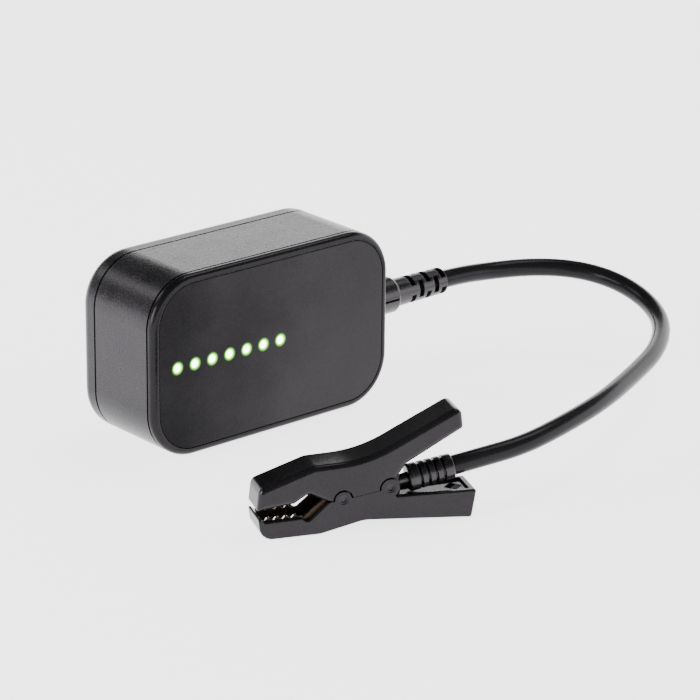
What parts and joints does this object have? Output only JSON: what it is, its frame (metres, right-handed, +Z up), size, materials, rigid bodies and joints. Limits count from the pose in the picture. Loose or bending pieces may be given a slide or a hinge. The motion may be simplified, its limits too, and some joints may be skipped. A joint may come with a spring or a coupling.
{
  "type": "battery tester",
  "caption": "Box-shaped battery tester with a row of round indicator lights on its face, a short two-core lead and one spring clip with a toothed lower jaw.",
  "frame": {"origin": "middle of the box's underside, on the surface it stands on", "axes": "+Z up, +X along the box's width towards the lead, -Y out of the face with the lights"},
  "size_m": [0.202, 0.1338, 0.0607],
  "materials": {
    "case_plastic": "black moulded plastic, fine spark-eroded grain",
    "panel_plastic": "black plastic sheet, smoother than the case",
    "inner_plastic": "black moulded plastic",
    "light_lens": "clear green-tinted resin, lit",
    "board_laminate": "green glass-fibre laminate",
    "can_aluminium": "bare drawn can",
    "resistor_lacquer": "tan lacquer",
    "resistor_ceramic": "white ceramic",
    "terminal_plastic": "green moulded plastic",
    "screw_steel": "zinc plated",
    "relief_rubber": "black flexible moulding",
    "lead_jacket": "black smooth flex jacket, slightly glossy",
    "clip_plastic": "black moulded plastic, fine grain",
    "contact_metal": "dull plated sheet",
    "terminal_metal": "tin-plated sheet",
    "pin_steel": "blackened steel",
    "spring_steel": "oiled wire"
  },
  "bodies": {
    "tester": {"housing_body": "case_plastic", "front_frame": "case_plastic", "face_panel": "panel_plastic", "rear_cover": "case_plastic", "case_screws": "screw_steel", "circuit_board": "board_laminate", "board_screws": "screw_steel", "indicator_leds": "light_lens", "led_holder": "inner_plastic", "control_chip": "inner_plastic", "voltage_regulator": "inner_plastic", "capacitors": "can_aluminium", "resistors": "resistor_lacquer", "protection_diode": "inner_plastic", "load_resistor": "resistor_ceramic", "wire_terminal": "terminal_plastic", "strain_relief": "relief_rubber", "lead_tail": "lead_jacket", "test_lead": "lead_jacket", "clip_sleeve": "relief_rubber", "lead_end": "lead_jacket", "lower_jaw": "clip_plastic", "lower_contact": "contact_metal", "crimp_terminal": "terminal_metal", "pivot_pin": "pin_steel", "contact_rivet": "pin_steel", "jaw_spring": "spring_steel"},
    "upper_arm": {"upper_jaw": "clip_plastic", "upper_contact": "contact_metal"}
  },
  "joints": [
    {"name": "jaw_hinge", "type": "hinge", "parent": "tester", "child": "upper_arm", "pos_m": [-0.02051, -0.09695, 0.0126], "axis": [0.3962, 0.9182, 0], "range_deg": [0, 22], "stiffness_Nm_per_rad": 0.3, "springref_deg": -28.65, "deforming": ["jaw_spring"]}
  ]
}
